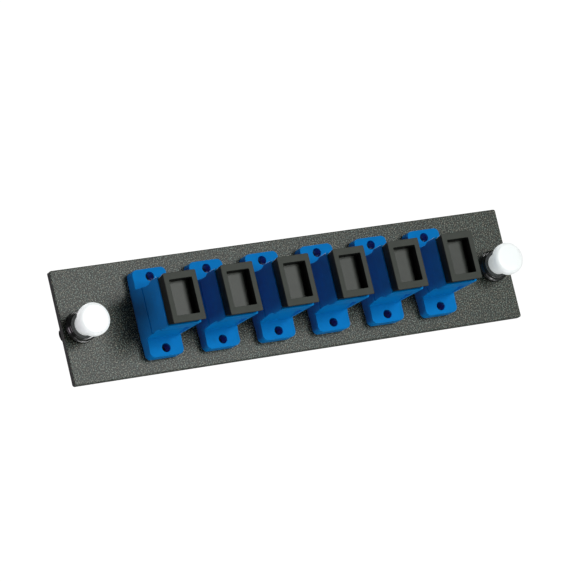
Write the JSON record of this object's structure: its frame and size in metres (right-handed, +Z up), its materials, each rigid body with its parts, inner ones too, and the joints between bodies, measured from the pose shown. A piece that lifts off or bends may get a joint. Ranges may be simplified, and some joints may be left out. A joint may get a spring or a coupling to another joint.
{
  "type": "fibre adapter plate",
  "caption": "Flat rack panel plate with a row of flanged fibre optic adapters, dust caps in both ends and push latches.",
  "frame": {"origin": "centre of the plate's rear face, which seats on the enclosure", "axes": "+X along the plate, -Y out of the front, +Z up"},
  "size_m": [0.1296, 0.0349, 0.0292],
  "materials": {
    "plate": "fine textured powder coat, dark grey",
    "housing": "moulded plastic, bright blue, satin",
    "holder": "moulded plastic, natural",
    "ceramic": "polished white ceramic",
    "spring_steel": "rolled stainless strip",
    "cap": "soft dark grey plastic, matt",
    "grommet": "black nylon, glossy",
    "plunger": "white nylon, satin"
  },
  "bodies": {
    "root": {"plate": "plate", "housing_1": "housing", "front_holder_1": "holder", "rear_holder_1": "holder", "alignment_sleeve_1": "ceramic", "spring_clip_1": "spring_steel", "housing_2": "housing", "front_holder_2": "holder", "rear_holder_2": "holder", "alignment_sleeve_2": "ceramic", "spring_clip_2": "spring_steel", "housing_3": "housing", "front_holder_3": "holder", "rear_holder_3": "holder", "alignment_sleeve_3": "ceramic", "spring_clip_3": "spring_steel", "housing_4": "housing", "front_holder_4": "holder", "rear_holder_4": "holder", "alignment_sleeve_4": "ceramic", "spring_clip_4": "spring_steel", "housing_5": "housing", "front_holder_5": "holder", "rear_holder_5": "holder", "alignment_sleeve_5": "ceramic", "spring_clip_5": "spring_steel", "housing_6": "housing", "front_holder_6": "holder", "rear_holder_6": "holder", "alignment_sleeve_6": "ceramic", "spring_clip_6": "spring_steel", "latch_grommet_left": "grommet", "latch_grommet_right": "grommet"},
    "front_dust_cap_1": {"front_dust_cap_1": "cap"},
    "rear_dust_cap_1": {"rear_dust_cap_1": "cap"},
    "front_dust_cap_2": {"front_dust_cap_2": "cap"},
    "rear_dust_cap_2": {"rear_dust_cap_2": "cap"},
    "front_dust_cap_3": {"front_dust_cap_3": "cap"},
    "rear_dust_cap_3": {"rear_dust_cap_3": "cap"},
    "front_dust_cap_4": {"front_dust_cap_4": "cap"},
    "rear_dust_cap_4": {"rear_dust_cap_4": "cap"},
    "front_dust_cap_5": {"front_dust_cap_5": "cap"},
    "rear_dust_cap_5": {"rear_dust_cap_5": "cap"},
    "front_dust_cap_6": {"front_dust_cap_6": "cap"},
    "rear_dust_cap_6": {"rear_dust_cap_6": "cap"},
    "latch_plunger_left": {"latch_plunger_left": "plunger"},
    "latch_plunger_right": {"latch_plunger_right": "plunger"}
  },
  "joints": [
    {"name": "front_dust_cap_1_pull", "type": "slide", "parent": "root", "child": "front_dust_cap_1", "axis": [0, -1, 0], "range_m": [0, 0.015]},
    {"name": "rear_dust_cap_1_pull", "type": "slide", "parent": "root", "child": "rear_dust_cap_1", "axis": [0, 1, 0], "range_m": [0, 0.015]},
    {"name": "front_dust_cap_2_pull", "type": "slide", "parent": "root", "child": "front_dust_cap_2", "axis": [0, -1, 0], "range_m": [0, 0.015]},
    {"name": "rear_dust_cap_2_pull", "type": "slide", "parent": "root", "child": "rear_dust_cap_2", "axis": [0, 1, 0], "range_m": [0, 0.015]},
    {"name": "front_dust_cap_3_pull", "type": "slide", "parent": "root", "child": "front_dust_cap_3", "axis": [0, -1, 0], "range_m": [0, 0.015]},
    {"name": "rear_dust_cap_3_pull", "type": "slide", "parent": "root", "child": "rear_dust_cap_3", "axis": [0, 1, 0], "range_m": [0, 0.015]},
    {"name": "front_dust_cap_4_pull", "type": "slide", "parent": "root", "child": "front_dust_cap_4", "axis": [0, -1, 0], "range_m": [0, 0.015]},
    {"name": "rear_dust_cap_4_pull", "type": "slide", "parent": "root", "child": "rear_dust_cap_4", "axis": [0, 1, 0], "range_m": [0, 0.015]},
    {"name": "front_dust_cap_5_pull", "type": "slide", "parent": "root", "child": "front_dust_cap_5", "axis": [0, -1, 0], "range_m": [0, 0.015]},
    {"name": "rear_dust_cap_5_pull", "type": "slide", "parent": "root", "child": "rear_dust_cap_5", "axis": [0, 1, 0], "range_m": [0, 0.015]},
    {"name": "front_dust_cap_6_pull", "type": "slide", "parent": "root", "child": "front_dust_cap_6", "axis": [0, -1, 0], "range_m": [0, 0.015]},
    {"name": "rear_dust_cap_6_pull", "type": "slide", "parent": "root", "child": "rear_dust_cap_6", "axis": [0, 1, 0], "range_m": [0, 0.015]},
    {"name": "latch_plunger_left_pull", "type": "slide", "parent": "root", "child": "latch_plunger_left", "axis": [0, -1, 0], "range_m": [0, 0.004]},
    {"name": "latch_plunger_right_pull", "type": "slide", "parent": "root", "child": "latch_plunger_right", "axis": [0, -1, 0], "range_m": [0, 0.004]}
  ]
}
